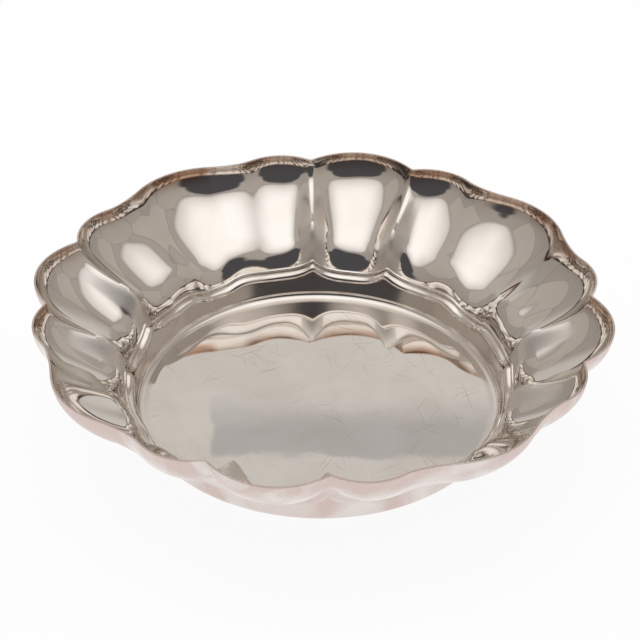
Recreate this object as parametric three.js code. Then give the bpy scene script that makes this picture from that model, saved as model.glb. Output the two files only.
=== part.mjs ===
// Lobed silver bowl: a round flat floor, a low upright drum, a small stepped moulding
// and a wall of sixteen lobes. Millimetres, +Z up, origin at the middle of the underside.
// The narrow lobes lie on the X and Y axes and the wide groups of three lobes between them.

import * as THREE from "three";

// Sheet and seams
const SHEET = 0.8;
const SEAM_GAP = 0.3;

// Floor and drum
const FLOOR_RADIUS = 69.6;
const DRUM_FOOT_FLANGE = 1.6;
const DRUM_FOOT_FILLET = 3.1;
const DRUM_FLARE = 0.5;
const DRUM_HEIGHT_AT_NARROW_LOBE = 7.9;
const DRUM_HEIGHT_AT_SIDE_LOBE = 9.5;
const DRUM_HEIGHT_AT_CENTRE_LOBE = 7.8;
const DRUM_HEIGHT_AT_HARD_RIDGE = 13.2;
const DRUM_HEIGHT_AT_SOFT_RIDGE = 10.3;

// Stepped moulding above the drum: a wide roll, a narrow step and a thin roll. The radii
// are those of the sheet's back face.
const LOWER_ROLL_BACK_RADIUS = 2.0;
const STEP_RISE = 0.6;
const UPPER_ROLL_BACK_RADIUS = 0.2;

// Rim, as inner radii at the middle of each kind of lobe and on each kind of ridge
const RIM_HEIGHT = 51;
const RIM_AT_NARROW_LOBE = 115.4;
const RIM_AT_SIDE_LOBE = 112.6;
const RIM_AT_CENTRE_LOBE = 115.0;
const RIM_AT_HARD_RIDGE = 107.6;
const RIM_AT_SOFT_RIDGE = 109.6;

// Where the ridges stand, in degrees from the middle of a narrow lobe. The soft ridges
// lean towards the centre lobe on their way down.
const HARD_RIDGE_ANGLE = 12.1;
const SOFT_RIDGE_ANGLE_AT_RIM = 29.1;
const SOFT_RIDGE_ANGLE_AT_FOOT = 34;
const GROUP_MIDDLE_ANGLE = 45;
const LEAN_LEFT_AT_BEND = 0.36;

// The wall rises in a double curve, convex below its bend and hollow above it
const BEND_RADIUS = 88;
const BEND_HEIGHT_AT_NARROW_LOBE = 23.6;
const BEND_HEIGHT_AT_SIDE_LOBE = 24.3;
const BEND_HEIGHT_AT_CENTRE_LOBE = 22.6;
const BEND_HEIGHT_AT_HARD_RIDGE = 34.6;
const BEND_HEIGHT_AT_SOFT_RIDGE = 26.5;

// Slopes of that curve in degrees, and its reach at the foot, below and above the bend,
// and at the rim, where it stands upright
const LOBE_CURVE = { footSlope: 68, bendSlope: 31, reaches: [5.5, 4, 12.5, 11.5] };
const HARD_CURVE = { footSlope: 88, bendSlope: 19, reaches: [9, 7, 9, 9] };
const SOFT_CURVE = { footSlope: 72, bendSlope: 30, reaches: [6.5, 4.5, 11.5, 11] };

// How the lobes are shaped across: hollow, then straight for a share of the half lobe
// up to a hard ridge, and rounded over the top of a ridge
const LOBE_POWER_AT_MOULDING = 3;
const LOBE_POWER_AT_RIM = 2;
const HARD_LOBE_POWER_LOW_DOWN = 3.4;
const HARD_FLANK_LOW_DOWN = 0.3;
const HARD_RIDGE_ROUNDING = 0.05;
const SOFT_RIDGE_ROUNDING = 0.45;
const FLANK_GROWTH = 3;

// Steps of the surface
const STEPS_HALF_NARROW_LOBE = 4;
const STEPS_SIDE_LOBE = 5;
const STEPS_HALF_CENTRE_LOBE = 5;
const FILLET_STEPS = 4;
const LOWER_ROLL_STEPS = 3;
const UPPER_ROLL_STEPS = 2;
const WALL_STEPS_BELOW_BEND = 6;
const WALL_STEPS_ABOVE_BEND = 9;

const radians = THREE.MathUtils.degToRad;
const mix = THREE.MathUtils.lerp;

const lowerRollRadius = LOWER_ROLL_BACK_RADIUS + SHEET;
const upperRollRadius = UPPER_ROLL_BACK_RADIUS + SHEET;
const drumFootRadius = FLOOR_RADIUS + SEAM_GAP + DRUM_FOOT_FLANGE + DRUM_FOOT_FILLET;
const drumTopRadius = drumFootRadius + DRUM_FLARE;
const mouldingRise = lowerRollRadius + STEP_RISE + upperRollRadius;
const wallFootRadius = drumTopRadius + lowerRollRadius + upperRollRadius;

const NARROW_LOBE = {
  drum: DRUM_HEIGHT_AT_NARROW_LOBE,
  bend: BEND_HEIGHT_AT_NARROW_LOBE,
  rim: RIM_AT_NARROW_LOBE,
  curve: LOBE_CURVE,
};
const SIDE_LOBE = {
  drum: DRUM_HEIGHT_AT_SIDE_LOBE,
  bend: BEND_HEIGHT_AT_SIDE_LOBE,
  rim: RIM_AT_SIDE_LOBE,
  curve: LOBE_CURVE,
};
const CENTRE_LOBE = {
  drum: DRUM_HEIGHT_AT_CENTRE_LOBE,
  bend: BEND_HEIGHT_AT_CENTRE_LOBE,
  rim: RIM_AT_CENTRE_LOBE,
  curve: LOBE_CURVE,
};
const HARD_RIDGE = {
  drum: DRUM_HEIGHT_AT_HARD_RIDGE,
  bend: BEND_HEIGHT_AT_HARD_RIDGE,
  rim: RIM_AT_HARD_RIDGE,
  curve: HARD_CURVE,
  rounding: HARD_RIDGE_ROUNDING,
  lowPower: HARD_LOBE_POWER_LOW_DOWN,
  lowFlank: HARD_FLANK_LOW_DOWN,
};
const SOFT_RIDGE = {
  drum: DRUM_HEIGHT_AT_SOFT_RIDGE,
  bend: BEND_HEIGHT_AT_SOFT_RIDGE,
  rim: RIM_AT_SOFT_RIDGE,
  curve: SOFT_CURVE,
  rounding: SOFT_RIDGE_ROUNDING,
  lowPower: LOBE_POWER_AT_RIM,
  lowFlank: 0,
};

// A lobe seen across: 0 in its middle and 1 on its ridge, first hollow, then straight,
// then rounded over the ridge
function acrossLobe(t, power, straight, rounding) {
  const start = 1 - straight - rounding;
  const level = start ** power;
  const steep = power * start ** (power - 1);
  const top = level + steep * (straight + rounding / 2);
  if (t <= start) {
    return t ** power / top;
  }
  if (t <= start + straight) {
    return (level + steep * (t - start)) / top;
  }
  const left = (1 - t) / rounding;
  return 1 - (steep * rounding * left * left) / 2 / top;
}

// The line from floor to rim at an angle of the rim: its lobe, its ridge, how far across
// it lies, and the angle at which it stands on the moulding
function meridianAt(angle) {
  const turn = 2 * GROUP_MIDDLE_ANGLE;
  const axis = turn * Math.round(angle / turn);
  const folded = Math.abs(angle - axis);
  const side = Math.sign(angle - axis);
  if (folded <= HARD_RIDGE_ANGLE) {
    const t = folded / HARD_RIDGE_ANGLE;
    return { lobe: NARROW_LOBE, ridge: HARD_RIDGE, t, angle, footAngle: angle };
  }
  if (folded <= SOFT_RIDGE_ANGLE_AT_RIM) {
    const share = (folded - HARD_RIDGE_ANGLE) / (SOFT_RIDGE_ANGLE_AT_RIM - HARD_RIDGE_ANGLE);
    const ridge = share > 1 / 2 ? SOFT_RIDGE : HARD_RIDGE;
    const t = Math.min(1, Math.abs(2 * share - 1));
    const footAngle = axis + side * mix(HARD_RIDGE_ANGLE, SOFT_RIDGE_ANGLE_AT_FOOT, share);
    return { lobe: SIDE_LOBE, ridge, t, angle, footAngle };
  }
  const t = (GROUP_MIDDLE_ANGLE - folded) / (GROUP_MIDDLE_ANGLE - SOFT_RIDGE_ANGLE_AT_RIM);
  const footAngle = axis + side * mix(GROUP_MIDDLE_ANGLE, SOFT_RIDGE_ANGLE_AT_FOOT, t);
  return { lobe: CENTRE_LOBE, ridge: SOFT_RIDGE, t, angle, footAngle };
}

function drumHeight({ lobe, ridge, t }) {
  return mix(lobe.drum, ridge.drum, acrossLobe(t, LOBE_POWER_AT_MOULDING, 0, ridge.rounding));
}

// Inner face of the drum, from its foot flange over the fillet to its wavy top edge
function drumLine(meridian) {
  const points = [new THREE.Vector2(FLOOR_RADIUS + SEAM_GAP, SHEET)];
  const height = drumHeight(meridian);
  const flare = Math.atan2(DRUM_FLARE, height - SHEET - DRUM_FOOT_FILLET);
  const centre = drumFootRadius - DRUM_FOOT_FILLET;
  for (let i = 0; i <= FILLET_STEPS; i += 1) {
    const turn = ((Math.PI / 2 - flare) * i) / FILLET_STEPS;
    points.push(
      new THREE.Vector2(
        centre + DRUM_FOOT_FILLET * Math.sin(turn),
        SHEET + DRUM_FOOT_FILLET * (1 - Math.cos(turn)),
      ),
    );
  }
  points.push(new THREE.Vector2(drumTopRadius, height));
  return points;
}

// A roll of the moulding, from upright to level
function rollLine(radius, startRadius, startHeight, steps) {
  const points = [];
  for (let i = 0; i <= steps; i += 1) {
    const turn = (Math.PI / 2) * (i / steps);
    points.push(
      new THREE.Vector2(
        startRadius + radius * (1 - Math.cos(turn)),
        startHeight + radius * Math.sin(turn),
      ),
    );
  }
  return points;
}

// Inner face of the moulding: lower roll, step, upper roll
function mouldingLine(meridian) {
  const base = drumHeight(meridian);
  const shelf = base + lowerRollRadius + STEP_RISE;
  return [
    ...rollLine(lowerRollRadius, drumTopRadius, base, LOWER_ROLL_STEPS),
    ...rollLine(upperRollRadius, drumTopRadius + lowerRollRadius, shelf, UPPER_ROLL_STEPS),
  ];
}

// The two parts of the wall's double curve, along the middle of a lobe or along a ridge
function wallCurves({ drum, bend, rim, curve }) {
  const [atFoot, belowBend, aboveBend, atRim] = curve.reaches;
  const along = (slope) => new THREE.Vector2(Math.cos(radians(slope)), Math.sin(radians(slope)));
  const foot = new THREE.Vector2(wallFootRadius, drum + mouldingRise);
  const middle = new THREE.Vector2(BEND_RADIUS, bend);
  const edge = new THREE.Vector2(rim, RIM_HEIGHT);
  const low = new THREE.CubicBezierCurve(
    foot,
    foot.clone().addScaledVector(along(curve.footSlope), atFoot),
    middle.clone().addScaledVector(along(curve.bendSlope), -belowBend),
    middle,
  );
  const high = new THREE.CubicBezierCurve(
    middle,
    middle.clone().addScaledVector(along(curve.bendSlope), aboveBend),
    new THREE.Vector2(rim, RIM_HEIGHT - atRim),
    edge,
  );
  return [low, high];
}

// Inner face of the wall, between the curve of its lobe and the curve of its ridge. lean
// says how far each point has come from the angle at the moulding to that at the rim.
function wallLine({ lobe, ridge, t }) {
  const lobeCurves = wallCurves(lobe);
  const ridgeCurves = wallCurves(ridge);
  const line = { points: [], lean: [] };
  const add = (part, u, lean, grown) => {
    const lowPower = mix(ridge.lowPower, LOBE_POWER_AT_RIM, lean);
    const power = mix(LOBE_POWER_AT_MOULDING, lowPower, grown);
    const straight = ridge.lowFlank * (1 - lean) * grown;
    const weight = acrossLobe(t, power, straight, ridge.rounding);
    line.points.push(lobeCurves[part].getPoint(u).lerp(ridgeCurves[part].getPoint(u), weight));
    line.lean.push(lean);
  };
  for (let i = 1; i <= WALL_STEPS_BELOW_BEND; i += 1) {
    const u = i / WALL_STEPS_BELOW_BEND;
    add(0, u, LEAN_LEFT_AT_BEND * u, Math.min(1, FLANK_GROWTH * u));
  }
  for (let i = 1; i <= WALL_STEPS_ABOVE_BEND; i += 1) {
    const u = i / WALL_STEPS_ABOVE_BEND;
    add(1, u, mix(LEAN_LEFT_AT_BEND, 1, u), 1);
  }
  return line;
}

// Angles of the meridians at the rim, closer together on the narrow lobes and with one on
// each ridge
function meridianAngles() {
  const quarter = [];
  const add = (from, to, steps) => {
    for (let i = 0; i < steps; i += 1) {
      quarter.push(mix(from, to, i / steps));
    }
  };
  const turn = 2 * GROUP_MIDDLE_ANGLE;
  add(0, HARD_RIDGE_ANGLE, STEPS_HALF_NARROW_LOBE);
  add(HARD_RIDGE_ANGLE, SOFT_RIDGE_ANGLE_AT_RIM, STEPS_SIDE_LOBE);
  add(SOFT_RIDGE_ANGLE_AT_RIM, turn - SOFT_RIDGE_ANGLE_AT_RIM, 2 * STEPS_HALF_CENTRE_LOBE);
  add(turn - SOFT_RIDGE_ANGLE_AT_RIM, turn - HARD_RIDGE_ANGLE, STEPS_SIDE_LOBE);
  add(turn - HARD_RIDGE_ANGLE, turn, STEPS_HALF_NARROW_LOBE);
  const all = [];
  for (let i = 0; i < 360 / turn; i += 1) {
    all.push(...quarter.map((angle) => angle + i * turn));
  }
  return all;
}

// The whole inner surface as a grid of points, one column for each meridian
const columns = meridianAngles().map((angle) => {
  const meridian = meridianAt(angle);
  const below = [...drumLine(meridian), ...mouldingLine(meridian).slice(1)];
  const wall = wallLine(meridian);
  const line = [...below, ...wall.points];
  return line.map((point, i) => {
    const lean = i < below.length ? 0 : wall.lean[i - below.length];
    const turn = radians(mix(meridian.footAngle, meridian.angle, lean));
    return new THREE.Vector3(point.x * Math.cos(turn), point.x * Math.sin(turn), point.y);
  });
});
const drumTopRow = drumLine(meridianAt(0)).length - 1;
const mouldingTopRow = drumTopRow + mouldingLine(meridianAt(0)).length - 1;
const rimRow = columns[0].length - 1;

// Direction out of the sheet at each point of the grid
const outward = columns.map((column, c) => {
  const before = columns[(c + columns.length - 1) % columns.length];
  const after = columns[(c + 1) % columns.length];
  return column.map((point, i) => {
    const lower = column[Math.max(0, i - 1)];
    const upper = column[Math.min(rimRow, i + 1)];
    const along = new THREE.Vector3().subVectors(upper, lower);
    const first = new THREE.Vector3().subVectors(point, before[i]).cross(along);
    const second = new THREE.Vector3().subVectors(after[i], point).cross(along);
    return first.normalize().add(second.normalize()).normalize();
  });
});

// A ring of sheet between two rows of the grid. An end that meets another piece is drawn
// back by half the seam's gap.
function sheetRing(firstRow, lastRow, drawBackFirst, drawBackLast) {
  const loops = columns.map((column, c) => {
    const inner = column.slice(firstRow, lastRow + 1).map((point) => point.clone());
    const normals = outward[c].slice(firstRow, lastRow + 1);
    const drawBack = (end, next) => {
      const step = new THREE.Vector3().subVectors(inner[next], inner[end]);
      inner[end].addScaledVector(step.normalize(), SEAM_GAP / 2);
    };
    if (drawBackFirst) {
      drawBack(0, 1);
    }
    if (drawBackLast) {
      drawBack(inner.length - 1, inner.length - 2);
    }
    const outer = inner.map((point, i) => point.clone().addScaledVector(normals[i], SHEET));
    return [...inner, ...outer.reverse()];
  });
  return loft(loops);
}

// Closed body through a ring of equal loops
function loft(loops) {
  const size = loops[0].length;
  const positions = loops.flat().flatMap((point) => [point.x, point.y, point.z]);
  const faces = [];
  loops.forEach((loop, c) => {
    const next = (c + 1) % loops.length;
    for (let i = 0; i < size; i += 1) {
      const j = (i + 1) % size;
      const a = c * size + i;
      const b = c * size + j;
      const d = next * size + i;
      const e = next * size + j;
      faces.push(a, b, e, a, e, d);
    }
  });
  const geometry = new THREE.BufferGeometry();
  geometry.setAttribute("position", new THREE.Float32BufferAttribute(positions, 3));
  geometry.setIndex(faces);
  geometry.computeVertexNormals();
  return geometry;
}

const silver = () => new THREE.MeshStandardMaterial({ color: 0xc9c3bb, roughness: 0.12, metalness: 1 });

function piece(name, geometry) {
  const mesh = new THREE.Mesh(geometry, silver());
  mesh.name = name;
  return mesh;
}

const bowl = new THREE.Group();

const floorPlate = piece(
  "floor_plate",
  new THREE.CylinderGeometry(FLOOR_RADIUS, FLOOR_RADIUS, SHEET, columns.length),
);
floorPlate.rotation.x = Math.PI / 2;
floorPlate.position.z = SHEET / 2;
bowl.add(floorPlate);
bowl.add(piece("base_drum", sheetRing(0, drumTopRow, false, true)));
bowl.add(piece("shoulder_moulding", sheetRing(drumTopRow, mouldingTopRow, true, true)));
bowl.add(piece("lobed_wall", sheetRing(mouldingTopRow, rimRow, true, false)));

export default bowl;
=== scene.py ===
"""Lobed silver bowl: finer pieces over the CAD bodies, silver finishes, studio and camera. Metres."""

import math

import bmesh
import bpy
from bpy.props import FloatProperty, FloatVectorProperty, IntProperty, PointerProperty
from mathutils import Matrix, Vector


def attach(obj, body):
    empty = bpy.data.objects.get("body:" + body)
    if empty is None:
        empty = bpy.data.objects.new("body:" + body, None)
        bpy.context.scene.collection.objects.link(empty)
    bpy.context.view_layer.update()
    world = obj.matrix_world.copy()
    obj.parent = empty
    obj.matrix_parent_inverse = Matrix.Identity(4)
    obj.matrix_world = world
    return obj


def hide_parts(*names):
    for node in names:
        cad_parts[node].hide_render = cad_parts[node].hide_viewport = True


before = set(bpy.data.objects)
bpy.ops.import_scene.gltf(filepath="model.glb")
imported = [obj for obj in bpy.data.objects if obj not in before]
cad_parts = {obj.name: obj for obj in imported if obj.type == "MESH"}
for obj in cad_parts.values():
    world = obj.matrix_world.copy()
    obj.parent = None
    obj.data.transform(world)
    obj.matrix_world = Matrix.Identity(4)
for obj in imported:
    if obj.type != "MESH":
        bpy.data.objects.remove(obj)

bl_info = {
    "name": "Lobed silver bowl",
    "version": (1, 0, 0),
    "blender": (4, 5, 0),
    "location": "3D View > Sidebar > Bowl",
    "description": "Builds the floor, drum, moulding and lobed wall of a polished silver bowl",
    "category": "Object",
}


def mm(value):
    """A length in millimetres, as metres."""
    return value / 1000


def length(name, description, value):
    return FloatProperty(
        name=name, description=description, default=mm(value), min=0, unit="LENGTH", subtype="DISTANCE")


def slope(name, description, value):
    return FloatProperty(name=name, description=description, default=math.radians(value), subtype="ANGLE")


def colour(name, description, value):
    return FloatVectorProperty(
        name=name, description=description, default=value, size=3, min=0, max=1, subtype="COLOR")


def share(name, description, value):
    return FloatProperty(name=name, description=description, default=value, min=0, max=1, subtype="FACTOR")


def number(name, description, value):
    return FloatProperty(name=name, description=description, default=value)


def reach(name, description, *values):
    """Four lengths in millimetres along one curve of the wall."""
    return FloatVectorProperty(
        name=name, description=description, default=[mm(value) for value in values], size=4, unit="LENGTH")


def count(name, description, value, least=2):
    return IntProperty(name=name, description=description, default=value, min=least)


# Settings


class BowlWellSizes(bpy.types.PropertyGroup):
    """The floor, the drum round it and the stepped moulding above the drum."""

    sheet: length("Sheet", "Thickness of the silver sheet", 0.8)
    floor_radius: length("Floor radius", "Radius of the flat floor, to the middle of its seam", 69.75)
    flange: length("Flange", "Flat ring of the drum beside the floor", 1.75)
    fillet: length("Fillet", "Radius of the bend between flange and drum", 3.1)
    flare: length("Flare", "How far the drum widens towards its top", 0.5)
    drum_at_narrow: length("Drum at narrow lobe", "Drum height at a narrow lobe", 7.9)
    drum_at_side: length("Drum at side lobe", "Drum height at a side lobe", 9.5)
    drum_at_centre: length("Drum at centre lobe", "Drum height at a centre lobe", 7.8)
    drum_at_hard: length("Drum at hard ridge", "Drum height at a crisp ridge", 13.2)
    drum_at_soft: length("Drum at soft ridge", "Drum height at a rounded ridge", 10.3)
    lower_roll: length("Lower roll", "Radius of the wide lower roll", 2.8)
    step: length("Step", "Rise between the two rolls", 0.6)
    upper_roll: length("Upper roll", "Radius of the thin upper roll", 1.0)


class BowlRimSizes(bpy.types.PropertyGroup):
    """The rim and the places of the ridges."""

    height: length("Rim height", "Height of the rim above the underside", 50.99)
    at_narrow: length("Rim at narrow lobe", "Inner rim radius at a narrow lobe", 115.4)
    at_side: length("Rim at side lobe", "Inner rim radius at a side lobe", 112.6)
    at_centre: length("Rim at centre lobe", "Inner rim radius at a centre lobe", 115.0)
    at_hard: length("Rim at hard ridge", "Inner rim radius at a crisp ridge", 107.6)
    at_soft: length("Rim at soft ridge", "Inner rim radius at a rounded ridge", 109.6)
    hard_angle: slope("Hard ridge", "Angle of a crisp ridge from the narrow lobe's middle", 12.1)
    soft_angle: slope("Soft ridge at rim", "Angle of a rounded ridge at the rim", 29.1)
    soft_angle_foot: slope("Soft ridge at foot", "Angle of a rounded ridge at the moulding", 34.0)


class BowlWallSizes(bpy.types.PropertyGroup):
    """The double curve of the wall along lobes and ridges."""

    bend_radius: length("Bend radius", "Radius where the curve turns from convex to hollow", 88.0)
    bend_at_narrow: length("Bend at narrow lobe", "Height of the bend at a narrow lobe", 23.6)
    bend_at_side: length("Bend at side lobe", "Height of the bend at a side lobe", 24.3)
    bend_at_centre: length("Bend at centre lobe", "Height of the bend at a centre lobe", 22.6)
    bend_at_hard: length("Bend at hard ridge", "Height of the bend on a crisp ridge", 34.6)
    bend_at_soft: length("Bend at soft ridge", "Height of the bend on a rounded ridge", 26.5)
    lobe_foot_slope: slope("Lobe foot", "Slope of a lobe's middle above the moulding", 68)
    lobe_slope: slope("Lobe bend", "Slope of a lobe's middle at the bend", 31)
    hard_foot_slope: slope("Hard foot", "Slope of a crisp ridge's end above the moulding", 88)
    hard_slope: slope("Hard bend", "Slope of a crisp ridge at the bend", 19)
    soft_foot_slope: slope("Soft foot", "Slope of a rounded ridge's end above the moulding", 72)
    soft_slope: slope("Soft bend", "Slope of a rounded ridge at the bend", 30)
    lobe_reach: reach(
        "Lobe reach", "Reach of a lobe's curve at foot, below and above the bend, and at the rim",
        5.5, 4.0, 12.5, 11.5)
    hard_reach: reach(
        "Hard reach", "Reach of a crisp ridge's curve at the same four places", 9.0, 7.0, 9.0, 9.0)
    soft_reach: reach(
        "Soft reach", "Reach of a rounded ridge's curve at the same four places", 6.5, 4.5, 11.5, 11.0)
    drum_power: number("Moulding wave", "How pointed the moulding's waves are", 3.0)
    foot_power: number("Lobe at foot", "How square the lobes are low down", 3.4)
    rim_power: number("Lobe at rim", "How square the lobes are at the rim", 2.0)
    hard_flank: share("Hard flank", "Share of a half lobe rising straight to a crisp ridge, low down", 0.30)
    flank_growth: number("Flank growth", "How fast the flank forms above the moulding", 3.0)
    hard_rounding: share("Hard rounding", "Share of a half lobe that rounds a crisp ridge", 0.05)
    soft_rounding: share("Soft rounding", "Share of a half lobe that rounds a soft ridge", 0.45)
    low_share: share("Low share", "How far the lean of the soft ridges has run out at the bend", 0.36)


class BowlMeshSteps(bpy.types.PropertyGroup):
    """How finely the pieces are divided."""

    narrow: count("Half narrow lobe", "Steps across half a narrow lobe", 16)
    side: count("Side lobe", "Steps across a side lobe", 22)
    centre: count("Half centre lobe", "Steps across half a centre lobe", 22)
    floor: count("Floor", "Rings from the floor's middle to its edge", 24)
    fillet: count("Fillet", "Steps round the drum's fillet", 8)
    drum: count("Drum", "Steps up the drum", 8, least=1)
    roll: count("Rolls", "Steps round each roll", 10)
    low_wall: count("Low wall", "Steps below the bend", 24)
    high_wall: count("High wall", "Steps above the bend", 34)


class BowlFinish(bpy.types.PropertyGroup):
    """Colours and wear of the silver."""

    silver: colour("Silver", "Colour of clean polished silver", (0.80, 0.765, 0.725))
    tarnish: colour("Tarnish", "Colour of old silver in its creases", (0.46, 0.31, 0.23))
    blush: colour("Blush", "Faint rose of thin tarnish outside", (0.67, 0.545, 0.51))
    polish: share("Polish", "Roughness of the polished silver", 0.045)
    wear: share("Wear", "How plain the hairline scratches are", 0.5)


class BowlStudio(bpy.types.PropertyGroup):
    """Camera, lamp, table and room."""

    camera_place: FloatVectorProperty(
        name="Camera", description="Place of the camera", default=(0.102817, -0.603439, 0.476012), size=3,
        subtype="TRANSLATION")
    camera_lens: FloatProperty(name="Lens", description="Focal length in millimetres", default=105.88)
    camera_shift: FloatProperty(name="Shift", description="Vertical shift of the lens", default=0.03736)
    lamp_watts: FloatProperty(
        name="Lamp", description="Power of the soft lamp overhead", default=11.0, unit="POWER")
    table: colour("Table", "Colour of the table the bowl stands on", (0.86, 0.86, 0.86))
    room: colour("Room", "Colour of the room seen in the silver", (0.52, 0.478, 0.438))
    dark_card: colour("Dark card", "Colour of the dark card on the camera side", (0.080, 0.080, 0.086))


# Form of the bowl


def over_lobe(across, power, rounding, straight=0):
    """0 in a lobe's middle and 1 on its ridge: hollow, then straight, then rounded over the ridge."""
    start = 1 - straight - rounding
    level = start ** power
    steep = power * start ** (power - 1)
    top = level + steep * (straight + rounding / 2)
    if across <= start:
        return across ** power / top
    if across <= start + straight:
        return (level + steep * (across - start)) / top
    left = (1 - across) / rounding
    return 1 - steep * rounding / 2 * left * left / top


class Meridian:
    """One line from the floor to the rim: which lobe it runs in and how far across the lobe."""

    def __init__(self, angle, settings):
        rim, wall = settings.bowl_rim, settings.bowl_wall
        quarter = math.pi / 2 * round(angle / (math.pi / 2))
        away = abs(angle - quarter)
        hard, soft, middle = rim.hard_angle, rim.soft_angle, math.pi / 4
        foot = rim.soft_angle_foot
        if away <= hard:
            self.kind, self.ridge, self.across = "narrow", "hard", away / hard
            low = away
        elif away <= soft:
            side = (away - (hard + soft) / 2) / ((soft - hard) / 2)
            self.kind, self.ridge = "side", "soft" if side > 0 else "hard"
            self.across = min(1.0, abs(side))
            low = hard + (away - hard) * (foot - hard) / (soft - hard)
        else:
            self.kind, self.ridge, self.across = "centre", "soft", max(0.0, (middle - away) / (middle - soft))
            low = foot + (away - soft) * (middle - foot) / (middle - soft)
        self.angle = angle
        self.foot_angle = quarter + math.copysign(low, angle - quarter)
        self.rounding = wall.soft_rounding if self.ridge == "soft" else wall.hard_rounding

    def place(self, radius, height, lean):
        """Point in space; lean is 0 at the moulding and 1 at the rim."""
        turn = self.foot_angle + (self.angle - self.foot_angle) * lean
        return Vector((radius * math.cos(turn), radius * math.sin(turn), height))


def drum_height(line, well, wall):
    low = getattr(well, "drum_at_" + line.kind)
    high = getattr(well, "drum_at_" + line.ridge)
    return low + (high - low) * over_lobe(line.across, wall.drum_power, line.rounding)


def drum_foot(well):
    return well.floor_radius + well.flange + well.fillet


def moulding_foot(well):
    return drum_foot(well) + well.flare


def wall_foot(well):
    return moulding_foot(well) + well.lower_roll + well.upper_roll


def drum_point(line, row, settings):
    """Inner face of the drum: flange, fillet and nearly upright side."""
    well, steps = settings.bowl_well, settings.bowl_steps
    height = drum_height(line, well, settings.bowl_wall)
    lean = math.atan2(well.flare, height - well.sheet - well.fillet)
    centre = drum_foot(well) - well.fillet
    if row == 0:
        return line.place(well.floor_radius, well.sheet, 0)
    turn = (math.pi / 2 - lean) * min(1, (row - 1) / steps.fillet)
    radius = centre + well.fillet * math.sin(turn)
    level = well.sheet + well.fillet * (1 - math.cos(turn))
    up = max(0, row - 1 - steps.fillet) / steps.drum
    return line.place(radius + (moulding_foot(well) - radius) * up, level + (height - level) * up, 0)


def moulding_point(line, row, settings):
    """Inner face of the moulding: wide lower roll, step and thin upper roll."""
    well, steps = settings.bowl_well, settings.bowl_steps
    base = drum_height(line, well, settings.bowl_wall)
    if row <= steps.roll:
        turn = math.pi / 2 * row / steps.roll
        return line.place(moulding_foot(well) + well.lower_roll * (1 - math.cos(turn)),
                          base + well.lower_roll * math.sin(turn), 0)
    turn = math.pi / 2 * (row - steps.roll - 1) / steps.roll
    return line.place(moulding_foot(well) + well.lower_roll + well.upper_roll * (1 - math.cos(turn)),
                      base + well.lower_roll + well.step + well.upper_roll * math.sin(turn), 0)


def curve_point(ends, u):
    """Point of a cubic curve through its four control points."""
    v = 1 - u
    shares = (v * v * v, 3 * v * v * u, 3 * v * u * u, u * u * u)
    return sum((point * part for point, part in zip(ends, shares)), Vector((0, 0)))


def wall_curves(points, slopes, reaches):
    """The two curves of the wall, below and above its bend."""
    foot, bend, rim = points
    foot_slope, bend_slope = slopes
    along = Vector((math.cos(bend_slope), math.sin(bend_slope)))
    up = Vector((math.cos(foot_slope), math.sin(foot_slope)))
    low = (foot, foot + up * reaches[0], bend - along * reaches[1], bend)
    high = (bend, bend + along * reaches[2], rim - Vector((0, reaches[3])), rim)
    return low, high


def wall_point(line, row, settings):
    """Inner face of the wall, between the curve of the lobe and the curve of the ridge."""
    well, rim, wall, steps = settings.bowl_well, settings.bowl_rim, settings.bowl_wall, settings.bowl_steps
    part = 0 if row <= steps.low_wall else 1
    u = row / steps.low_wall if part == 0 else (row - steps.low_wall) / steps.high_wall
    lean = wall.low_share * u if part == 0 else wall.low_share + (1 - wall.low_share) * u
    rise = well.lower_roll + well.step + well.upper_roll
    ends = []
    for kind, name in ((line.kind, "lobe"), (line.ridge, line.ridge)):
        foot = Vector((wall_foot(well), getattr(well, "drum_at_" + kind) + rise))
        bend = Vector((wall.bend_radius, getattr(wall, "bend_at_" + kind)))
        edge = Vector((getattr(rim, "at_" + kind), rim.height))
        slopes = getattr(wall, name + "_foot_slope"), getattr(wall, name + "_slope")
        curves = wall_curves((foot, bend, edge), slopes, getattr(wall, name + "_reach"))
        ends.append(curve_point(curves[part], u))
    hard = line.ridge == "hard"
    foot_power = wall.foot_power if hard else wall.rim_power
    power = foot_power + (wall.rim_power - foot_power) * lean
    straight = wall.hard_flank * (1 - lean) if hard else 0
    if part == 0:
        grown = min(1, wall.flank_growth * u)
        power = wall.drum_power + (power - wall.drum_power) * grown
        straight *= grown
    point = ends[0].lerp(ends[1], over_lobe(line.across, power, line.rounding, straight))
    return line.place(point.x, point.y, lean)


def meridians(settings):
    """Meridians round the bowl, evenly spaced within each lobe and one on each ridge."""
    rim, steps = settings.bowl_rim, settings.bowl_steps
    quarter = math.pi / 2
    stops = (0, rim.hard_angle, rim.soft_angle, quarter - rim.soft_angle, quarter - rim.hard_angle, quarter)
    counts = (steps.narrow, steps.side, 2 * steps.centre, steps.side, steps.narrow)
    angles = []
    for turn in range(4):
        for start, end, count in zip(stops, stops[1:], counts):
            angles += [turn * quarter + start + (end - start) * i / count for i in range(count)]
    return [Meridian(angle, settings) for angle in angles]


def line_at(lines, spot):
    """The meridian that a spun point belongs to."""
    turn = math.atan2(spot.y, spot.x) / (2 * math.pi)
    return lines[round(turn * len(lines)) % len(lines)]


# Mesh making


def spun_disc(inner, outer, rows, around):
    """A flat ring or disc: a straight row of edges, spun once round the bowl's axis."""
    bm = bmesh.new()
    start = bm.verts.new((inner, 0, 0))
    end = bm.verts.new((outer, 0, 0))
    row = bm.edges.new((start, end))
    bmesh.ops.subdivide_edges(bm, edges=[row], cuts=rows - 1)
    bmesh.ops.spin(bm, geom=bm.verts[:] + bm.edges[:], cent=(0, 0, 0), axis=(0, 0, 1), angle=2 * math.pi,
                   steps=around, use_merge=True)
    bmesh.ops.remove_doubles(bm, verts=bm.verts, dist=(outer - inner) / rows / 100)
    return bm


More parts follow.
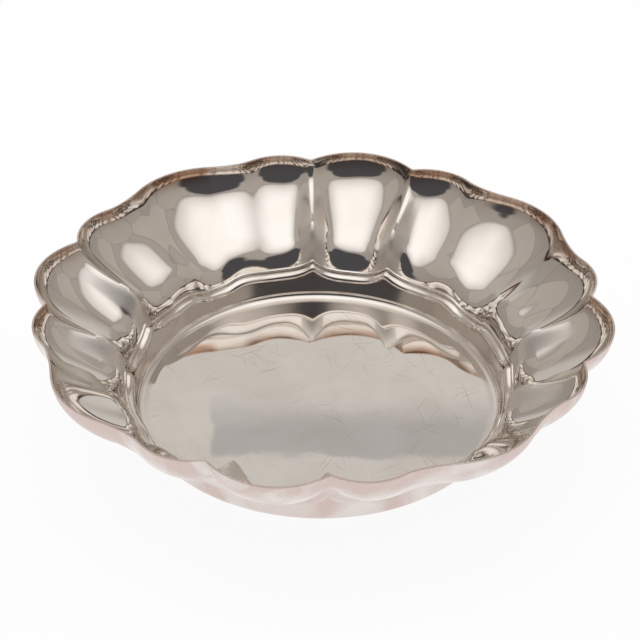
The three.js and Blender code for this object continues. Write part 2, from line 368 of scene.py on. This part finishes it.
def face_inside(bm):
    """Turns the faces to the inside of the bowl, which is also up."""
    bmesh.ops.recalc_face_normals(bm, faces=bm.faces)
    if sum(face.normal.z * face.calc_area() for face in bm.faces) < 0:
        bmesh.ops.reverse_faces(bm, faces=bm.faces)


# Two faces that meet at more than this have a sharp edge
SHARP_ANGLE = math.radians(75)


def sharp_edges(bm):
    return [e for e in bm.edges if len(e.link_faces) == 2 and e.calc_face_angle(0) > SHARP_ANGLE]


def thicken(bm, sheet, rim_rounding=0):
    """Gives the inner face its sheet on the outer side, and rounds the rim where asked."""
    bmesh.ops.solidify(bm, geom=bm.faces[:], thickness=sheet)
    if rim_rounding:
        top = max(v.co.z for v in bm.verts)
        rim = [e for e in sharp_edges(bm) if min(v.co.z for v in e.verts) > top - sheet / 2]
        bmesh.ops.bevel(bm, geom=rim, offset=rim_rounding, offset_type="OFFSET", segments=2, profile=0.5,
                        affect="EDGES", material=-1)
    for face in bm.faces:
        face.smooth = True
    for edge in sharp_edges(bm):
        edge.smooth = False


def new_object(name, data):
    """A new object in the scene."""
    item = bpy.data.objects.new(name, data)
    bpy.context.scene.collection.objects.link(item)
    return item


def finish_piece(bm, name, node, inside, outside, edge=0):
    """Makes the object of a piece, hides the CAD node it stands for and lets it ride on the bowl.
    Faces that look outward, and those within edge of its top, take the outside finish."""
    top = max(v.co.z for v in bm.verts)
    for face in bm.faces:
        middle = face.calc_center_median()
        away = Vector((middle.x, middle.y, 0)).normalized()
        outward = face.normal.dot(away) > face.normal.z
        face.material_index = 1 if outward or middle.z > top - edge else 0
    mesh = bpy.data.meshes.new(name)
    bm.to_mesh(mesh)
    bm.free()
    piece = new_object(name, mesh)
    mesh.materials.append(inside)
    mesh.materials.append(outside)
    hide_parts(node)
    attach(piece, "root")


def sheet_piece(settings, name, node, rows, point, inside, outside, rim_rounding=0):
    """A ring of the bowl's sheet: a spun ring, each point moved to its place on the bowl."""
    lines = meridians(settings)
    bm = spun_disc(1, 2, rows, len(lines))
    for vert in bm.verts:
        row = round((math.hypot(vert.co.x, vert.co.y) - 1) * rows)
        vert.co = point(line_at(lines, vert.co), row, settings)
    face_inside(bm)
    thicken(bm, settings.bowl_well.sheet, rim_rounding)
    finish_piece(bm, name, node, inside, outside, edge=rim_rounding)


# Finishes


def add(tree, kind, place, **values):
    """A new node of a node tree."""
    node = tree.nodes.new(kind)
    node.location = place
    for key, value in values.items():
        setattr(node, key, value)
    return node


def feed(tree, socket, value):
    """Links a socket to the output of another node, or sets it to a constant."""
    if isinstance(value, bpy.types.NodeSocket):
        tree.links.new(value, socket)
    else:
        socket.default_value = value


def calculate(tree, kind, place, *values, clamp=False):
    """The result of a math node."""
    node = add(tree, "ShaderNodeMath", place, operation=kind, use_clamp=clamp)
    for socket, value in zip(node.inputs, values):
        feed(tree, socket, value)
    return node.outputs["Value"]


def ramp(tree, value, low, high, place, bottom=0, top=1, smooth=False):
    """The result of a map range node: bottom at low, top at high."""
    node = add(tree, "ShaderNodeMapRange", place, interpolation_type="SMOOTHSTEP" if smooth else "LINEAR")
    limits = {"Value": value, "From Min": low, "From Max": high, "To Min": bottom, "To Max": top}
    for title, limit in limits.items():
        feed(tree, node.inputs[title], limit)
    return node.outputs["Result"]


def noise(tree, vector, place, **settings):
    """The grey value of a noise texture."""
    node = add(tree, "ShaderNodeTexNoise", place)
    feed(tree, node.inputs["Vector"], vector)
    for title, value in settings.items():
        node.inputs[title].default_value = value
    return node.outputs["Fac"]


def mix(tree, factor, first, second, place):
    """The result of a mix of two colours."""
    node = add(tree, "ShaderNodeMix", place, data_type="RGBA")
    for title, value in (("Factor", factor), ("A", first), ("B", second)):
        feed(tree, node.inputs[title], value)
    return node.outputs["Result"]


def mix_shaders(tree, factor, first, second, place):
    """The result of a mix of two shaders."""
    node = add(tree, "ShaderNodeMixShader", place)
    for socket, value in zip(node.inputs, (factor, first, second)):
        feed(tree, socket, value)
    return node.outputs["Shader"]


def new_group(name, inputs, outputs):
    """An empty shader node group with named sockets."""
    group = bpy.data.node_groups.new(name, "ShaderNodeTree")
    for title, kind, value in inputs:
        socket = group.interface.new_socket(title, in_out="INPUT", socket_type=kind)
        if value is not None:
            socket.default_value = value
    for title, kind in outputs:
        group.interface.new_socket(title, in_out="OUTPUT", socket_type=kind)
    start = add(group, "NodeGroupInput", (-1200, 0))
    end = add(group, "NodeGroupOutput", (900, 0))
    return group, start, end


# Each direction of the scratches: its turn in radians, and how fine it is along and across a scratch
SCRATCH_DIRECTIONS = (
    (0.25, 28, 1500), (0.7, 42, 1900), (1.2, 25, 1600), (1.9, 38, 2100), (2.45, 31, 1700), (2.9, 48, 1800))
# The noise levels where a scratch starts, how fine the scratched places are, and where they start
SCRATCH_LEVELS = (0.70, 0.75)
SCRATCHED_FINENESS = 28
SCRATCHED_LEVELS = (0.42, 0.62)


def scratches_group():
    """Hairline scratches in a few directions, broken up so that they come in short runs."""
    name = "hairline scratches"
    if name in bpy.data.node_groups:
        return bpy.data.node_groups[name]
    group, start, end = new_group(
        name, (("Vector", "NodeSocketVector", None), ("Amount", "NodeSocketFloat", 0.5)),
        (("Mask", "NodeSocketFloat"),))
    total = None
    for i, (turn, long, thin) in enumerate(SCRATCH_DIRECTIONS):
        turned = add(group, "ShaderNodeVectorRotate", (-1200, -300 * i), rotation_type="Z_AXIS")
        turned.inputs["Angle"].default_value = turn
        feed(group, turned.inputs["Vector"], start.outputs["Vector"])
        mapping = add(group, "ShaderNodeMapping", (-1000, -300 * i))
        mapping.inputs["Scale"].default_value = (long, thin, long)
        mapping.inputs["Location"].default_value = (3.1 * i, 1.7 * i, 0)
        feed(group, mapping.inputs["Vector"], turned.outputs["Vector"])
        streaks = noise(group, mapping.outputs["Vector"], (-800, -300 * i), Scale=1, Detail=1)
        lines = ramp(group, streaks, *SCRATCH_LEVELS, (-600, -300 * i))
        total = calculate(group, "MAXIMUM", (-400, -300 * i), total, lines) if total else lines
    where = noise(group, start.outputs["Vector"], (-400, 300), Scale=SCRATCHED_FINENESS, Detail=3)
    runs = ramp(group, where, *SCRATCHED_LEVELS, (-200, 300))
    broken = calculate(group, "MULTIPLY", (200, 0), total, runs)
    mask = calculate(group, "MULTIPLY", (500, 0), broken, start.outputs["Amount"], clamp=True)
    feed(group, end.inputs["Mask"], mask)
    return group


# The two kinds of waves in the sheet: name, how fine and how detailed
WAVES = (("Broad", 34, 1.0), ("Fine", 150, 1.5))


def waviness_group():
    """Slow unevenness of sheet that was raised and planished by hand, as a height in metres."""
    name = "planished waviness"
    if name in bpy.data.node_groups:
        return bpy.data.node_groups[name]
    group, start, end = new_group(
        name, (("Vector", "NodeSocketVector", None), ("Broad", "NodeSocketFloat", 0.0001),
               ("Fine", "NodeSocketFloat", 0.00001)), (("Height", "NodeSocketFloat"),))
    parts = []
    for i, (title, scale, detail) in enumerate(WAVES):
        swell = noise(group, start.outputs["Vector"], (-800, -300 * i), Scale=scale, Detail=detail)
        parts.append(calculate(group, "MULTIPLY", (-500, -300 * i), swell, start.outputs[title]))
    feed(group, end.inputs["Height"], calculate(group, "ADD", (0, 0), *parts))
    return group


# How fine the clouds of tarnish are, the noise levels they lie between, and what is left between them
CLOUD_FINENESS = 38
CLOUD_LEVELS = (0.36, 0.66)
CLOUD_GAPS = 0.2


def tarnish_group():
    """Cloudy patches of thin tarnish, a strength for all of it and one for the band between two heights."""
    name = "thin tarnish"
    if name in bpy.data.node_groups:
        return bpy.data.node_groups[name]
    group, start, end = new_group(
        name, (("Vector", "NodeSocketVector", None), ("Clouds", "NodeSocketFloat", 0.2),
               ("Band", "NodeSocketFloat", 0.5), ("Low", "NodeSocketFloat", mm(40)),
               ("High", "NodeSocketFloat", mm(51))), (("Mask", "NodeSocketFloat"),))
    vector = start.outputs["Vector"]
    clouds = noise(group, vector, (-900, 200), Scale=CLOUD_FINENESS, Detail=3, Roughness=0.5, Distortion=0.8)
    spread = ramp(group, clouds, *CLOUD_LEVELS, (-700, 200), bottom=CLOUD_GAPS)
    split = add(group, "ShaderNodeSeparateXYZ", (-900, -200))
    feed(group, split.inputs["Vector"], vector)
    low, high = start.outputs["Low"], start.outputs["High"]
    band = ramp(group, split.outputs["Z"], low, high, (-700, -200), smooth=True)
    band_part = calculate(group, "MULTIPLY", (-400, -200), band, start.outputs["Band"])
    strength = calculate(group, "ADD", (-200, 0), band_part, start.outputs["Clouds"])
    mask = calculate(group, "MULTIPLY", (200, 0), strength, spread, clamp=True)
    feed(group, end.inputs["Mask"], mask)
    return group


# The dull flanks beside a crisp ridge: the angles off its crest where they end and where they start, the
# heights where they end, and the heights below which the crest is dull too
FLANK_ANGLES = (math.radians(4.4), math.radians(3.0))
CREST_ANGLES = (math.radians(0.1), math.radians(0.35))
FLANK_HEIGHTS = (mm(42), mm(32))
CREST_HEIGHTS = (mm(36), mm(31))


def crease_group():
    """The flanks of the crisp ridges, low down, where a polishing cloth doesn't reach.
    A narrow crest stays bright, except at its foot."""
    name = "dull creases"
    if name in bpy.data.node_groups:
        return bpy.data.node_groups[name]
    group, start, end = new_group(
        name, (("Vector", "NodeSocketVector", None), ("Ridge", "NodeSocketFloat", math.radians(12.1))),
        (("Mask", "NodeSocketFloat"),))
    split = add(group, "ShaderNodeSeparateXYZ", (-1000, 0))
    feed(group, split.inputs["Vector"], start.outputs["Vector"])
    across = calculate(group, "ABSOLUTE", (-800, 200), split.outputs["X"])
    along = calculate(group, "ABSOLUTE", (-800, 0), split.outputs["Y"])
    small = calculate(group, "MINIMUM", (-600, 200), across, along)
    large = calculate(group, "MAXIMUM", (-600, 0), across, along)
    angle = calculate(group, "ARCTAN2", (-400, 100), small, large)
    off = calculate(group, "SUBTRACT", (-200, 100), angle, start.outputs["Ridge"])
    beside = calculate(group, "ABSOLUTE", (0, 100), off)
    near = ramp(group, beside, *FLANK_ANGLES, (200, 300), smooth=True)
    off_crest = ramp(group, beside, *CREST_ANGLES, (200, 0), smooth=True)
    foot = ramp(group, split.outputs["Z"], *CREST_HEIGHTS, (200, -600), smooth=True)
    dull = calculate(group, "MAXIMUM", (350, -100), off_crest, foot)
    low = ramp(group, split.outputs["Z"], *FLANK_HEIGHTS, (200, -300), smooth=True)
    flank = calculate(group, "MULTIPLY", (450, 200), near, dull)
    feed(group, end.inputs["Mask"], calculate(group, "MULTIPLY", (650, 0), flank, low))
    return group


def use_group(tree, group, vector, place, **settings):
    """The output of a node group."""
    node = add(tree, "ShaderNodeGroup", place, node_tree=group)
    feed(tree, node.inputs["Vector"], vector)
    for title, value in settings.items():
        node.inputs[title].default_value = value
    return node.outputs[0]


# How much rougher tarnish makes the silver inside and outside, and scratches and creases everywhere
TARNISH_ROUGHNESS = 0.06
OUTER_TARNISH_ROUGHNESS = 0.25
SCRATCH_ROUGHNESS = 0.25
CREASE_ROUGHNESS = 0.42
# How much duller the polish is outside, and how dark a scratch is
OUTER_DULLNESS = 2.5
SCRATCH_SHADE = 0.55


def silver(name, scratches, broad, fine, clouds, band=0, low=0, high=mm(1), outside=False, dullness=1,
           creases=False):
    """Polished silver with the wear and tarnish of one piece, or of its outer side."""
    finish = bpy.context.scene.bowl_finish
    material = bpy.data.materials.new(name)
    material.use_nodes = True
    tree = material.node_tree
    tree.nodes.clear()
    place = add(tree, "ShaderNodeTexCoord", (-1400, 0)).outputs["Object"]
    lines = use_group(tree, scratches_group(), place, (-1100, 300), Amount=scratches * finish.wear * 2)
    waves = use_group(tree, waviness_group(), place, (-1100, 0), Broad=broad, Fine=fine)
    cloud = use_group(
        tree, tarnish_group(), place, (-1100, -300), Clouds=clouds, Band=band, Low=low, High=high)
    tarnish = finish.blush if outside else finish.tarnish
    tint = mix(tree, cloud, (*finish.silver, 1), (*tarnish, 1), (-700, 300))
    scratched = (*(SCRATCH_SHADE * part for part in finish.silver), 1)
    tint = mix(tree, lines, tint, scratched, (-450, 300))
    polish = dullness * (OUTER_DULLNESS * finish.polish if outside else finish.polish)
    dulled = OUTER_TARNISH_ROUGHNESS if outside else TARNISH_ROUGHNESS
    roughness = calculate(tree, "MULTIPLY_ADD", (-700, -100), cloud, dulled, polish)
    roughness = calculate(tree, "MULTIPLY_ADD", (-450, -100), lines, SCRATCH_ROUGHNESS, roughness)
    if creases:
        ridge = bpy.context.scene.bowl_rim.hard_angle
        crease = use_group(tree, crease_group(), place, (-1100, -600), Ridge=ridge)
        roughness = calculate(tree, "MULTIPLY_ADD", (-250, -100), crease, CREASE_ROUGHNESS, roughness)
    bump = add(tree, "ShaderNodeBump", (-450, -400))
    bump.inputs["Strength"].default_value = 1
    bump.inputs["Distance"].default_value = 1
    feed(tree, bump.inputs["Height"], waves)
    shader = add(tree, "ShaderNodeBsdfPrincipled", (0, 0))
    shader.inputs["Metallic"].default_value = 1
    feed(tree, shader.inputs["Base Color"], tint)
    feed(tree, shader.inputs["Roughness"], roughness)
    feed(tree, shader.inputs["Normal"], bump.outputs["Normal"])
    out = add(tree, "ShaderNodeOutputMaterial", (400, 0))
    feed(tree, out.inputs["Surface"], shader.outputs["BSDF"])
    return material


# Operators


class BOWL_OT_make_floor(bpy.types.Operator):
    """Make the flat floor plate"""

    bl_idname = "bowl.make_floor"
    bl_label = "Floor plate"

    def execute(self, context):
        scene = context.scene
        well = scene.bowl_well
        lines = meridians(scene)
        bm = spun_disc(0, well.floor_radius, scene.bowl_steps.floor, len(lines))
        bmesh.ops.translate(bm, verts=bm.verts, vec=(0, 0, well.sheet))
        for vert in bm.verts:
            radius = math.hypot(vert.co.x, vert.co.y)
            if radius > 0:
                vert.co = line_at(lines, vert.co).place(radius, vert.co.z, 0)
        face_inside(bm)
        thicken(bm, well.sheet)
        inside = silver("Worn silver floor", scratches=1.0, broad=mm(0.06), fine=mm(0.003), clouds=0.16,
                        dullness=0.45)
        outside = silver("Silver underside", scratches=0.8, broad=mm(0.06), fine=mm(0.004), clouds=0.7,
                         outside=True)
        finish_piece(bm, "silver_floor", "floor_plate", inside, outside)
        return {"FINISHED"}


class BOWL_OT_make_drum(bpy.types.Operator):
    """Make the low upright drum between floor and moulding"""

    bl_idname = "bowl.make_drum"
    bl_label = "Base drum"

    def execute(self, context):
        scene = context.scene
        steps = scene.bowl_steps
        inside = silver("Silver drum", scratches=0.2, broad=mm(0.05), fine=mm(0.004), clouds=0.18,
                        band=0.15, low=mm(8), high=mm(13), dullness=2.5)
        outside = silver("Silver drum outside", scratches=0.3, broad=mm(0.06), fine=mm(0.006), clouds=1.0,
                         outside=True)
        rows = 1 + steps.fillet + steps.drum
        sheet_piece(scene, "silver_drum", "base_drum", rows, drum_point, inside, outside)
        return {"FINISHED"}


class BOWL_OT_make_moulding(bpy.types.Operator):
    """Make the stepped wavy moulding above the drum"""

    bl_idname = "bowl.make_moulding"
    bl_label = "Shoulder moulding"

    def execute(self, context):
        scene = context.scene
        inside = silver("Silver moulding", scratches=0.2, broad=mm(0.02), fine=mm(0.003), clouds=0.3,
                        band=0.1, low=mm(10), high=mm(18))
        outside = silver("Silver moulding outside", scratches=0.2, broad=mm(0.02), fine=mm(0.003), clouds=0.7,
                         outside=True)
        rows = 2 * scene.bowl_steps.roll + 1
        sheet_piece(scene, "silver_moulding", "shoulder_moulding", rows, moulding_point, inside, outside)
        return {"FINISHED"}


class BOWL_OT_make_wall(bpy.types.Operator):
    """Make the wide lobed wall up to the rim"""

    bl_idname = "bowl.make_wall"
    bl_label = "Lobed wall"

    def execute(self, context):
        scene = context.scene
        steps = scene.bowl_steps
        inside = silver("Silver wall", scratches=0.02, broad=mm(0.35), fine=mm(0.0015), clouds=0.14,
                        band=1.25, low=mm(42), high=mm(50), creases=True)
        outside = silver("Silver wall outside", scratches=0.2, broad=mm(0.12), fine=mm(0.008), clouds=0.9,
                         band=0.6, low=mm(30), high=mm(51), outside=True)
        rows = steps.low_wall + steps.high_wall
        sheet_piece(scene, "silver_wall", "lobed_wall", rows, wall_point, inside, outside,
                    rim_rounding=mm(0.2))
        return {"FINISHED"}


# Colours that the silver mirrors
PANEL = (0.78, 0.75, 0.72, 1)
PANEL_GLOW = (1.3, 1.29, 1.27, 1)
PANEL_FRAME = (0.42, 0.40, 0.38, 1)
PALE_WALL = (0.74, 0.72, 0.69, 1)
GREY_STRIP = (0.53, 0.525, 0.52, 1)
FILL = (0.55, 0.55, 0.55, 1)
WHITE = (1, 1, 1, 1)

# Where they stand, seen from the bowl: lowest and highest tilt and left and right spread in degrees, and
# the softness of the edge. Tilt is 0 overhead and grows towards the camera; spread is 0 in the middle and
# grows to the right.
PANEL_PLACE = (-27, 42, -45, 45, 0.22)
GLOW_PLACE = (-27, 43, -45, 45, 1.0)
FRAME_PLACE = (-28, 44, -47, 47, 0.12)
CARD_PLACE = (42, 92, -48, 41, 0.25)
CARD_FOOT_PLACE = (54, 96, -58, 52, 0.3)
PALE_WALL_PLACE = (-100, -41, -40, 40, 0.6)

# The grey strip that the floor mirrors: from, to, and how softly it starts and ends, all in degrees
STRIP_TILT = (-52.5, -50.4, 1.3, 0.08)
STRIP_SPREAD = (-3.3, 8.5, 0.1, 4.5)

# How fine the room's wall panels are and how far their tones go, how wide and how dark their seams are,
# and how dim the walls are low down and where they get brighter
WALL_PANELS = 1.7
WALL_TONES = (0.80, 1.12)
WALL_SEAM = 0.018
SEAM_TONE = 0.72
DIM_WALLS = 0.82
BRIGHTER_WALLS = (0.15, 0.8)


def room_world(studio, toward):
    """White backdrop for the camera; a soft white panel, a dark card and pale walls for the silver."""
    world = bpy.data.worlds.new("Studio room")
    world.use_nodes = True
    tree = world.node_tree
    tree.nodes.clear()
    way = add(tree, "ShaderNodeTexCoord", (-1800, 0)).outputs["Generated"]

    def along(direction, place):
        """How far the way that is looked goes along a direction."""
        dot = add(tree, "ShaderNodeVectorMath", place, operation="DOT_PRODUCT")
        dot.inputs[1].default_value = direction
        feed(tree, dot.inputs[0], way)
        return dot.outputs["Value"]

    def band(value, low, high, low_soft, high_soft, place):
        """1 between two angles in degrees, each end with its own softness."""
        x, y = place
        ends = []
        for i, (start, end) in enumerate(((low, low + low_soft), (high, high - high_soft))):
            start, end = math.radians(start), math.radians(end)
            ends.append(ramp(tree, value, start, end, (x, y - 260 * i), smooth=True))
        return calculate(tree, "MULTIPLY", (x + 200, y), *ends)

    def patch(low, high, left, right, soft, place):
        """1 inside a patch with round corners, given in degrees of tilt and spread, with a soft edge."""
        x, y = place
        parts = []
        for i, (value, start, end) in enumerate(((tilt, low, high), (spread, left, right))):
            middle, half = math.radians((start + end) / 2), math.radians((end - start) / 2)
            centred = calculate(tree, "SUBTRACT", (x, y - 180 * i), value, middle)
            unit = calculate(tree, "DIVIDE", (x + 180, y - 180 * i), centred, half)
            square = calculate(tree, "MULTIPLY", (x + 360, y - 180 * i), unit, unit)
            parts.append(calculate(tree, "MULTIPLY", (x + 540, y - 180 * i), square, square))
        total = calculate(tree, "ADD", (x + 720, y), *parts)
        far = calculate(tree, "SQRT", (x + 900, y), total)
        return ramp(tree, far, 1, 1 - soft, (x + 1080, y), smooth=True)

    ahead = along(toward, (-1600, 200))
    aside = along((-toward.y, toward.x, 0), (-1600, 0))
    height = along((0, 0, 1), (-1600, -200))
    tilt = calculate(tree, "ARCTAN2", (-1400, 200), ahead, height)
    level = calculate(tree, "MULTIPLY", (-1400, -600), height, height)
    away = calculate(tree, "MULTIPLY", (-1400, -800), ahead, ahead)
    flat = calculate(tree, "SQRT", (-1100, -700), calculate(tree, "ADD", (-1250, -700), level, away))
    spread = calculate(tree, "ARCTAN2", (-950, -700), aside, flat)

    upper = ramp(tree, height, *BRIGHTER_WALLS, (-1150, -1700))
    dim_room = (*(DIM_WALLS * part for part in studio.room), 1)
    colours = mix(tree, upper, dim_room, (*studio.room, 1), (-700, 300))
    colours = mix(tree, patch(*PALE_WALL_PLACE, (-2600, 3300)), colours, PALE_WALL, (-650, 300))
    strip = calculate(tree, "MULTIPLY", (-800, -2100), band(tilt, *STRIP_TILT, (-1150, -2100)),
                      band(spread, *STRIP_SPREAD, (-1150, -2700)))
    colours = mix(tree, strip, colours, GREY_STRIP, (-600, 300))

    panels = add(tree, "ShaderNodeTexVoronoi", (-1800, 3900))
    seams = add(tree, "ShaderNodeTexVoronoi", (-1800, 4300), feature="DISTANCE_TO_EDGE")
    for node in (panels, seams):
        node.inputs["Scale"].default_value = WALL_PANELS
        feed(tree, node.inputs["Vector"], way)
    tones = ramp(tree, panels.outputs["Color"], 0, 1, (-1500, 3900), *WALL_TONES)
    seam = ramp(tree, seams.outputs["Distance"], 0, WALL_SEAM, (-1500, 4300), bottom=SEAM_TONE)
    shaded = add(tree, "ShaderNodeVectorMath", (-550, 600), operation="SCALE")
    feed(tree, shaded.inputs[0], colours)
    feed(tree, shaded.inputs["Scale"], calculate(tree, "MULTIPLY", (-1200, 4100), tones, seam))

    card = calculate(tree, "MAXIMUM", (-1200, 2700), patch(*CARD_PLACE, (-2600, 2700)),
                     patch(*CARD_FOOT_PLACE, (-2600, 4700)))
    colours = shaded.outputs["Vector"]
    colours = mix(tree, patch(*FRAME_PLACE, (-2600, 2100)), colours, PANEL_FRAME, (-500, 300))
    colours = mix(tree, card, colours, (*studio.dark_card, 1), (-300, 300))
    colours = mix(tree, patch(*PANEL_PLACE, (-2600, 900)), colours, PANEL, (-200, 300))
    colours = mix(tree, patch(*GLOW_PLACE, (-2600, 1500)), colours, PANEL_GLOW, (-100, 300))

    def background(shade, place):
        node = add(tree, "ShaderNodeBackground", place)
        feed(tree, node.inputs["Color"], shade)
        return node.outputs["Background"]

    ray = add(tree, "ShaderNodeLightPath", (-200, 500)).outputs
    mirrored = calculate(tree, "MAXIMUM", (100, 600), ray["Is Glossy Ray"], ray["Is Transmission Ray"])
    fill = background(FILL, (300, -100))
    backdrop = background(WHITE, (300, 100))
    room = background(colours, (300, 300))
    lit = mix_shaders(tree, mirrored, fill, room, (550, 100))
    seen = mix_shaders(tree, ray["Is Camera Ray"], lit, backdrop, (750, 200))
    out = add(tree, "ShaderNodeOutputWorld", (950, 200))
    feed(tree, out.inputs["Surface"], seen)
    return world


# How much of the table is plain white, how dark and how fine its grain is, and how rough it is
TABLE_WHITENESS = 0.93
TABLE_GRAIN = 0.985
GRAIN_FINENESS = 60
TABLE_ROUGHNESS = 0.9


def table_material(studio):
    """Pale table that stays white for the camera and in reflections and still takes a soft shadow."""
    material = bpy.data.materials.new("Pale table")
    material.use_nodes = True
    tree = material.node_tree
    tree.nodes.clear()
    place = add(tree, "ShaderNodeTexCoord", (-900, -200)).outputs["Object"]
    grain = noise(tree, place, (-700, -200), Scale=GRAIN_FINENESS)
    shade = (*(TABLE_GRAIN * part for part in studio.table), 1)
    matt = add(tree, "ShaderNodeBsdfPrincipled", (-100, -200))
    matt.inputs["Roughness"].default_value = TABLE_ROUGHNESS
    feed(tree, matt.inputs["Base Color"], mix(tree, grain, shade, (*studio.table, 1), (-400, -200)))
    white = add(tree, "ShaderNodeEmission", (-100, 100)).outputs["Emission"]
    ray = add(tree, "ShaderNodeLightPath", (-500, 500)).outputs
    seen = calculate(tree, "MAXIMUM", (-300, 500), ray["Is Camera Ray"], ray["Is Glossy Ray"])
    seen = calculate(tree, "MAXIMUM", (-200, 300), seen, ray["Is Transmission Ray"])
    plain = calculate(tree, "MULTIPLY", (0, 300), seen, TABLE_WHITENESS)
    out = add(tree, "ShaderNodeOutputMaterial", (400, 0))
    feed(tree, out.inputs["Surface"], mix_shaders(tree, plain, matt.outputs["BSDF"], white, (200, 0)))
    return material


# Which ways in space are right and up in the picture
PICTURE_RIGHT = Vector((0.98482, 0.17338, 0.008))
PICTURE_UP = Vector((-0.10862, 0.57971, 0.80755))


def make_camera(studio):
    lens = bpy.data.cameras.new("Camera")
    lens.sensor_width = 36
    lens.lens = studio.camera_lens
    lens.shift_y = studio.camera_shift
    camera = new_object("Camera", lens)
    turned = Matrix((PICTURE_RIGHT, PICTURE_UP, PICTURE_RIGHT.cross(PICTURE_UP))).transposed().to_4x4()
    camera.matrix_world = Matrix.Translation(studio.camera_place) @ turned
    return camera


# The soft lamp's place, width and depth in metres
LAMP_PLACE = (-0.15, 0.25, 1.2)
LAMP_WIDTH = 1.8
LAMP_DEPTH = 1.1


def make_lamp(studio):
    """A soft lamp that looks at the bowl and isn't mirrored in it."""
    light = bpy.data.lights.new("Soft lamp", "AREA")
    light.shape = "RECTANGLE"
    light.size = LAMP_WIDTH
    light.size_y = LAMP_DEPTH
    light.energy = studio.lamp_watts
    lamp = new_object("Soft lamp", light)
    lamp.location = LAMP_PLACE
    lamp.rotation_euler = Vector(LAMP_PLACE).to_track_quat("Z", "Y").to_euler()
    lamp.visible_glossy = False


# The table is a wide disc, a hair below the bowl so that no two faces share a plane
TABLE_RADIUS = 6
TABLE_RINGS = 6
TABLE_STEPS = 96
TABLE_GAP = mm(0.05)


def make_table(studio):
    bm = spun_disc(0, TABLE_RADIUS, TABLE_RINGS, TABLE_STEPS)
    bmesh.ops.translate(bm, verts=bm.verts, vec=(0, 0, -TABLE_GAP))
    face_inside(bm)
    mesh = bpy.data.meshes.new("Table")
    bm.to_mesh(mesh)
    bm.free()
    mesh.materials.append(table_material(studio))
    table = new_object("Table", mesh)


class BOWL_OT_make_studio(bpy.types.Operator):
    """Make the table, the soft lamp, the room and the camera"""

    bl_idname = "bowl.make_studio"
    bl_label = "Studio"

    def execute(self, context):
        scene = context.scene
        studio = scene.bowl_studio
        scene.view_settings.view_transform = "Standard"
        scene.camera = make_camera(studio)
        toward = Vector((studio.camera_place[0], studio.camera_place[1], 0)).normalized()
        scene.world = room_world(studio, toward)
        make_lamp(studio)
        make_table(studio)
        return {"FINISHED"}


class BOWL_PT_panel(bpy.types.Panel):
    """Lists the steps that build the bowl and its main sizes."""

    bl_idname = "BOWL_PT_panel"
    bl_label = "Lobed silver bowl"
    bl_space_type = "VIEW_3D"
    bl_region_type = "UI"
    bl_category = "Bowl"

    def draw(self, context):
        layout = self.layout
        for operator in STEPS:
            layout.operator(operator.bl_idname)
        for title in ("bowl_well", "bowl_rim", "bowl_wall", "bowl_steps", "bowl_finish", "bowl_studio"):
            group = getattr(context.scene, title)
            box = layout.box()
            for name in group.__annotations__:
                box.prop(group, name)


GROUPS = {
    "bowl_well": BowlWellSizes,
    "bowl_rim": BowlRimSizes,
    "bowl_wall": BowlWallSizes,
    "bowl_steps": BowlMeshSteps,
    "bowl_finish": BowlFinish,
    "bowl_studio": BowlStudio,
}
STEPS = (BOWL_OT_make_floor, BOWL_OT_make_drum, BOWL_OT_make_moulding, BOWL_OT_make_wall, BOWL_OT_make_studio)


def register():
    for title, group in GROUPS.items():
        bpy.utils.register_class(group)
        setattr(bpy.types.Scene, title, PointerProperty(type=group))
    for item in (*STEPS, BOWL_PT_panel):
        bpy.utils.register_class(item)


def unregister():
    for item in (BOWL_PT_panel, *reversed(STEPS)):
        bpy.utils.unregister_class(item)
    for title, group in reversed(GROUPS.items()):
        delattr(bpy.types.Scene, title)
        bpy.utils.unregister_class(group)


def main():
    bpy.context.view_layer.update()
    register()
    bpy.ops.bowl.make_floor()
    bpy.ops.bowl.make_drum()
    bpy.ops.bowl.make_moulding()
    bpy.ops.bowl.make_wall()
    bpy.ops.bowl.make_studio()


if __name__ == "__main__":
    main()
